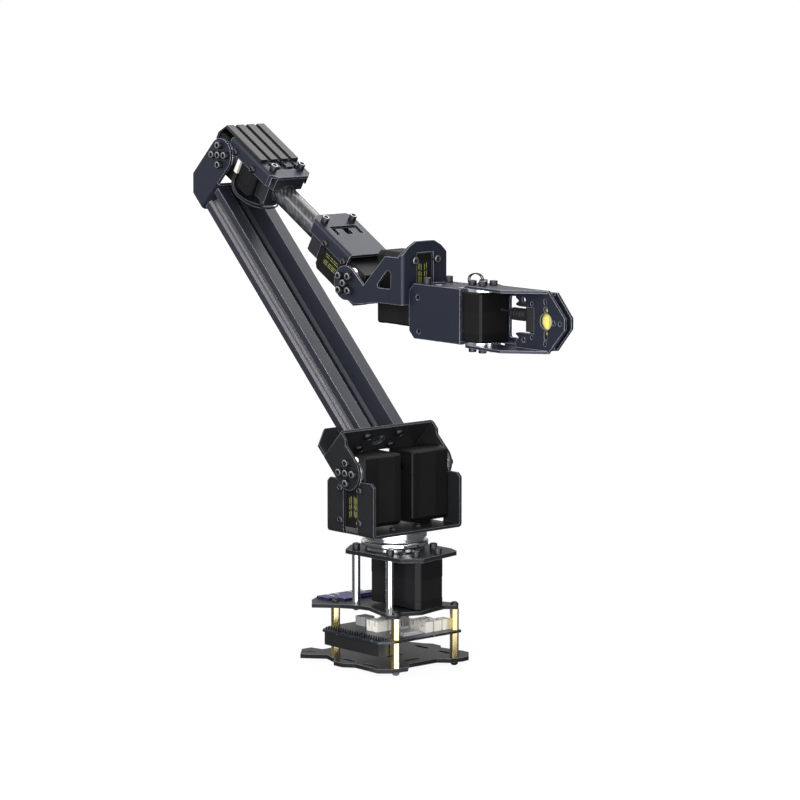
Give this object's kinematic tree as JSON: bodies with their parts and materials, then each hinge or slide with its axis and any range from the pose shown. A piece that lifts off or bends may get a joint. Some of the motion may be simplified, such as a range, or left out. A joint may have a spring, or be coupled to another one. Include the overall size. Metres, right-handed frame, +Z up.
{
  "type": "robot arm",
  "caption": "Desktop servo robot arm: slotted-rail upper arm on a turntable base, tube forearm, pitching and rolling wrist, and a two-jaw sheet-metal gripper.",
  "frame": {"origin": "on the turntable's axis, in the plane that the base's screw heads rest on", "axes": "+X forward, the way the gripper points at rest; +Y to the arm's left; +Z up"},
  "size_m": [0.3611, 0.0934, 0.3687],
  "materials": {
    "black_sheet": "black anodised, satin",
    "polished_metal": "polished",
    "screw_steel": "dark and bright steel",
    "brass": "bright turned",
    "black_block": "black anodised",
    "anodised_extrusion": "black anodised, satin",
    "carbon_tube": "clear-coated carbon weave",
    "black_plastic": "matte moulded",
    "servo_plastic": "fine-grained moulded",
    "circuit_board": "solder mask",
    "cream_plastic": "moulded",
    "board_metal": "plated",
    "violet_board": "solder mask",
    "pad_foam": "soft",
    "lead_jacket": "smooth insulation"
  },
  "bodies": {
    "base": {"base_plate": "black_sheet", "base_button_screws": "screw_steel", "lower_standoffs": "brass", "controller_board": "circuit_board", "header_block": "black_plastic", "board_connectors": "cream_plastic", "board_parts": "board_metal", "upper_standoffs": "brass", "mid_plate": "black_sheet", "module_board": "violet_board", "posts": "polished_metal", "top_plate": "black_sheet", "top_plate_screws": "screw_steel", "base_servo_case": "servo_plastic", "base_servo_lids": "servo_plastic", "turntable_base_ring": "polished_metal"},
    "turret": {"turntable_top_ring": "polished_metal", "yaw_horn": "polished_metal", "turret_bracket": "black_sheet", "turret_screws": "screw_steel", "near_shoulder_servo_case": "servo_plastic", "far_shoulder_servo_case": "servo_plastic", "shoulder_servo_lids": "servo_plastic"},
    "upper_arm": {"shoulder_ears": "black_sheet", "shoulder_horns": "polished_metal", "arm_extrusion": "anodised_extrusion", "arm_end_screws": "screw_steel", "elbow_ears": "black_sheet", "elbow_horns": "polished_metal", "arm_horn_screws": "screw_steel"},
    "forearm": {"elbow_servo_case": "servo_plastic", "elbow_servo_lids": "servo_plastic", "elbow_bracket": "black_sheet", "elbow_cover": "black_plastic", "elbow_clamp": "black_block", "forearm_tube": "carbon_tube", "wrist_clamp": "black_block", "wrist_bracket": "black_sheet", "wrist_servo_case": "servo_plastic", "wrist_servo_lids": "servo_plastic", "forearm_cap_screws": "screw_steel", "forearm_side_screws": "screw_steel", "elbow_plugs": "cream_plastic", "elbow_leads": "lead_jacket"},
    "wrist": {"wrist_fork": "black_sheet", "wrist_horns": "polished_metal", "wrist_screws": "screw_steel", "roll_servo_case": "servo_plastic", "roll_servo_lids": "servo_plastic"},
    "hand": {"roll_horn": "polished_metal", "gripper_bracket": "black_sheet", "gripper_servo_case": "servo_plastic", "gripper_servo_lids": "servo_plastic", "fixed_jaw": "black_sheet", "grip_pad": "pad_foam", "jaw_sensor": "black_plastic", "hand_screws": "screw_steel"},
    "finger": {"moving_jaw": "black_sheet", "jaw_horns": "polished_metal", "jaw_screws": "screw_steel"}
  },
  "joints": [
    {"name": "base_yaw", "type": "hinge", "parent": "base", "child": "turret", "pos_m": [0, 0, 0.081], "axis": [0, 0, 1], "range_deg": [-120, 120]},
    {"name": "shoulder_pitch", "type": "hinge", "parent": "turret", "child": "upper_arm", "pos_m": [0, 0, 0.1388], "axis": [0, 1, 0], "range_deg": [-10, 75]},
    {"name": "elbow_pitch", "type": "hinge", "parent": "upper_arm", "child": "forearm", "pos_m": [-0.16617, 0, 0.3474], "axis": [0, -1, 0], "range_deg": [-13, 110]},
    {"name": "wrist_pitch", "type": "hinge", "parent": "forearm", "child": "wrist", "pos_m": [-0.02774, 0, 0.26618], "axis": [0, 1, 0], "range_deg": [-60, 50]},
    {"name": "wrist_roll", "type": "hinge", "parent": "wrist", "child": "hand", "pos_m": [0.02956, 0, 0.25168], "axis": [1, 0, 0], "range_deg": [-120, 120]},
    {"name": "gripper_open", "type": "hinge", "parent": "hand", "child": "finger", "pos_m": [0.09016, 0, 0.25168], "axis": [0, 0, -1], "range_deg": [0, 50]}
  ]
}
